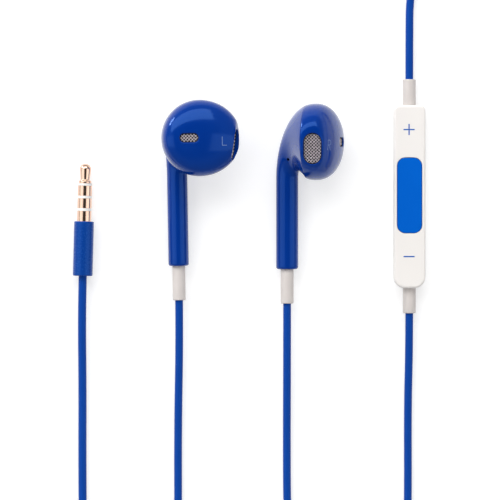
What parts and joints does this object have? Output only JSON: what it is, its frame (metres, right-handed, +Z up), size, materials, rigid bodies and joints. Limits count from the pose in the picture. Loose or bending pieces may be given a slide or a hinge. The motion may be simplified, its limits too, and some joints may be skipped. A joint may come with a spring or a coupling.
{
  "type": "wired stem earphones",
  "caption": "Wired stem earbuds with oval sound ports, an in-line remote with volume rocker and centre button, a Y splitter and a four-pole 3.5 mm plug.",
  "frame": {"origin": "on the table, midway between the two earbuds as they lie", "axes": "+Z up from the table, +Y from the foot of the stems towards the heads, +X towards the remote"},
  "size_m": [0.1089, 0.191, 0.0189],
  "materials": {
    "blue_shell": "glossy moulded plastic",
    "blue_moulding": "satin moulded elastomer",
    "blue_button": "satin plastic",
    "blue_cord": "smooth elastomer jacket",
    "white_shell": "smooth white plastic",
    "relief_rubber": "matte soft elastomer",
    "port_mesh": "woven metal mesh",
    "plug_metal": "rose gold plated, polished",
    "insulator": "plain",
    "driver_plastic": "plain",
    "driver_steel": "stamped steel",
    "magnet": "nickel plated",
    "coil_copper": "enamelled copper wire",
    "diaphragm_film": "thin clear film",
    "clamp_brass": "crimped ferrule",
    "board_green": "solder mask",
    "microphone_can": "drawn can",
    "tie_black": "matte strap"
  },
  "bodies": {
    "earphones": {"centre_switch_dome": "driver_steel", "cord_splitter": "blue_moulding", "left_cord_bud_run": "blue_cord", "left_cord_clamp": "clamp_brass", "left_cord_coil": "blue_cord", "left_cord_coil_tie": "tie_black", "left_cord_splitter_run": "blue_cord", "left_driver_frame": "driver_plastic", "left_driver_magnet": "magnet", "left_driver_pole_plate": "driver_steel", "left_driver_seat": "driver_plastic", "left_driver_yoke": "driver_steel", "left_front_shell": "blue_shell", "left_port_mesh": "port_mesh", "left_rear_housing": "blue_shell", "left_slot_mesh": "port_mesh", "left_strain_relief": "relief_rubber", "main_cord_coil": "blue_cord", "main_cord_coil_tie": "tie_black", "main_cord_plug_run": "blue_cord", "main_cord_splitter_run": "blue_cord", "microphone_capsule": "microphone_can", "minus_switch_dome": "driver_steel", "pivot_pins": "driver_steel", "plug_barrel": "blue_moulding", "plug_first_ring": "plug_metal", "plug_insulator_lower": "insulator", "plug_insulator_middle": "insulator", "plug_insulator_upper": "insulator", "plug_second_ring": "plug_metal", "plug_sleeve": "plug_metal", "plug_tip": "plug_metal", "plus_switch_dome": "driver_steel", "remote_circuit_board": "board_green", "remote_housing": "white_shell", "remote_lower_relief": "relief_rubber", "remote_upper_relief": "relief_rubber", "right_cord_clamp": "clamp_brass", "right_cord_lower_run": "blue_cord", "right_cord_upper_run": "blue_cord", "right_driver_frame": "driver_plastic", "right_driver_magnet": "magnet", "right_driver_pole_plate": "driver_steel", "right_driver_seat": "driver_plastic", "right_driver_yoke": "driver_steel", "right_front_shell": "blue_shell", "right_port_mesh": "port_mesh", "right_rear_housing": "blue_shell", "right_slot_mesh": "port_mesh", "right_strain_relief": "relief_rubber"},
    "volume_rocker": {"volume_rocker": "white_shell"},
    "centre_button": {"centre_button": "blue_button"},
    "left_driver_cone": {"left_voice_coil": "coil_copper", "left_diaphragm": "diaphragm_film"},
    "right_driver_cone": {"right_voice_coil": "coil_copper", "right_diaphragm": "diaphragm_film"}
  },
  "joints": [
    {"name": "volume_rock", "type": "hinge", "parent": "earphones", "child": "volume_rocker", "pos_m": [0.038, 0.00138, 0.0026], "axis": [1, 0, 0], "range_deg": [-0.8, 0.8], "stiffness_Nm_per_rad": 0.6, "deforming": ["plus_switch_dome", "minus_switch_dome"]},
    {"name": "centre_button_press", "type": "slide", "parent": "earphones", "child": "centre_button", "axis": [0, 0, -1], "range_m": [0, 0.0003], "stiffness_N_per_m": 1500, "deforming": ["centre_switch_dome"]},
    {"name": "left_cone_stroke", "type": "slide", "parent": "earphones", "child": "left_driver_cone", "axis": [0, 0, 1], "range_m": [-0.00015, 0.00015], "stiffness_N_per_m": 200},
    {"name": "right_cone_stroke", "type": "slide", "parent": "earphones", "child": "right_driver_cone", "axis": [0.9816, 0, 0.1908], "range_m": [-0.00015, 0.00015], "stiffness_N_per_m": 200}
  ]
}
